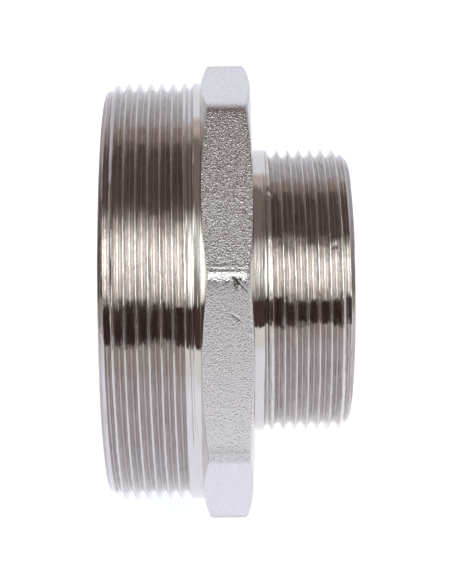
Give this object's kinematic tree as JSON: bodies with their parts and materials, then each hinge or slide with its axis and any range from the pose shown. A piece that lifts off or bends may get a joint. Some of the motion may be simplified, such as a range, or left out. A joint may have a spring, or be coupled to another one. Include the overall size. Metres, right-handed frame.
{
  "type": "reducing pipe nipple",
  "caption": "Reducing pipe nipple: large and small male parallel threads either side of an octagonal wrench collar, with a stepped flow passage.",
  "frame": {"origin": "on the bore axis, midway between the two end faces", "axes": "+X along the bore towards the small end; +Z square to the top wrench flat; +Y towards another flat"},
  "size_m": [0.05, 0.0896, 0.0896],
  "materials": {
    "turned_nickel": "bright nickel plate over fine turning marks",
    "forged_nickel": "bright nickel plate over a grainy forged surface"
  },
  "bodies": {
    "root": {"large_threaded_spigot": "turned_nickel", "wrench_collar": "forged_nickel", "small_threaded_spigot": "turned_nickel"}
  },
  "joints": []
}
